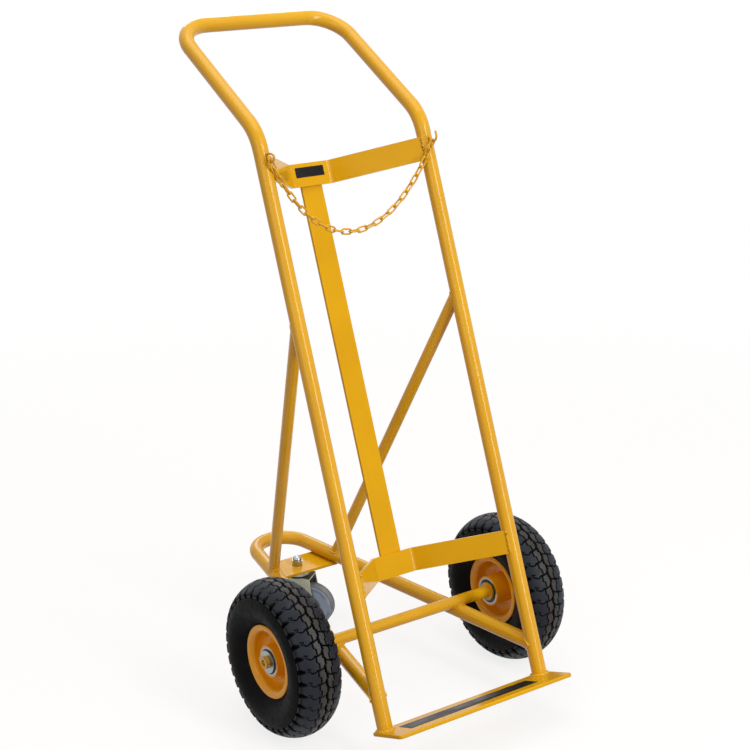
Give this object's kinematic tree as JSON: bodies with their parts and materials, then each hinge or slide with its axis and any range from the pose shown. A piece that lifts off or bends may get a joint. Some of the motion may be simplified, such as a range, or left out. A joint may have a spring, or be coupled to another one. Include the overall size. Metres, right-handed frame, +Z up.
{
  "type": "gas cylinder trolley",
  "caption": "Yellow steel trolley for a gas cylinder, leaning back on two pneumatic wheels and a rear swivel caster, with a safety chain.",
  "frame": {"origin": "on the floor, at the middle of the trolley's bounding box", "axes": "+X to the right seen from the front, +Y to the rear, +Z up"},
  "size_m": [0.547, 0.6731, 1.0928],
  "materials": {
    "yellow_paint": "semi-gloss",
    "zinc_plate": "satin",
    "chrome_plate": "polished",
    "bearing_steel": "polished",
    "brass": "satin",
    "tyre_rubber": "matte",
    "tube_rubber": "matte",
    "grey_plastic": "matte",
    "grey_rubber": "matte"
  },
  "bodies": {
    "frame": {"main_tube": "yellow_paint", "toe_plate": "yellow_paint", "upper_cradle": "yellow_paint", "lower_cradle": "yellow_paint", "back_strip": "yellow_paint", "rear_loop": "yellow_paint", "left_strut": "yellow_paint", "right_strut": "yellow_paint", "caster_plate": "yellow_paint", "wheel_axle": "yellow_paint", "axle_collars": "yellow_paint", "axle_washers": "zinc_plate", "split_pins": "zinc_plate", "bearing_inner_rings": "bearing_steel", "chain_eye": "yellow_paint", "chain_hook": "yellow_paint", "kingpin_bolt": "zinc_plate", "kingpin_washer": "zinc_plate", "kingpin_nut": "chrome_plate", "swivel_top_race": "zinc_plate"},
    "left_wheel": {"left_tyre": "tyre_rubber", "left_inner_tube": "tube_rubber", "left_valve": "brass", "left_rim": "yellow_paint", "left_hub": "yellow_paint", "left_bearing_rings": "bearing_steel", "left_bearing_balls": "bearing_steel", "left_bearing_seals": "tube_rubber"},
    "right_wheel": {"right_tyre": "tyre_rubber", "right_inner_tube": "tube_rubber", "right_valve": "brass", "right_rim": "yellow_paint", "right_hub": "yellow_paint", "right_bearing_rings": "bearing_steel", "right_bearing_balls": "bearing_steel", "right_bearing_seals": "tube_rubber"},
    "caster_fork": {"caster_fork": "zinc_plate", "swivel_balls": "bearing_steel", "caster_wheel_bolt": "zinc_plate", "caster_wheel_nut": "zinc_plate"},
    "caster_wheel": {"caster_wheel_core": "grey_plastic", "caster_wheel_tread": "grey_rubber", "caster_wheel_bush": "bearing_steel"},
    "chain": {"chain_links": "yellow_paint"}
  },
  "joints": [
    {"name": "left_wheel_spin", "type": "hinge", "parent": "frame", "child": "left_wheel", "pos_m": [-0.231, -0.09275, 0.13], "axis": [1, 0, 0], "continuous": true},
    {"name": "right_wheel_spin", "type": "hinge", "parent": "frame", "child": "right_wheel", "pos_m": [0.231, -0.09275, 0.13], "axis": [1, 0, 0], "continuous": true},
    {"name": "caster_swivel", "type": "hinge", "parent": "frame", "child": "caster_fork", "pos_m": [0, 0.21842, 0.1111], "axis": [0, -0.0468, 0.9989], "continuous": true},
    {"name": "caster_wheel_spin", "type": "hinge", "parent": "caster_fork", "child": "caster_wheel", "pos_m": [0.01822, 0.19665, 0.04], "axis": [0.809, 0.5871, 0.0275], "continuous": true},
    {"name": "chain_swing", "type": "hinge", "parent": "frame", "child": "chain", "pos_m": [0, 0.03422, 0.91194], "axis": [1, 0, 0], "range_deg": [-75, 1]}
  ]
}
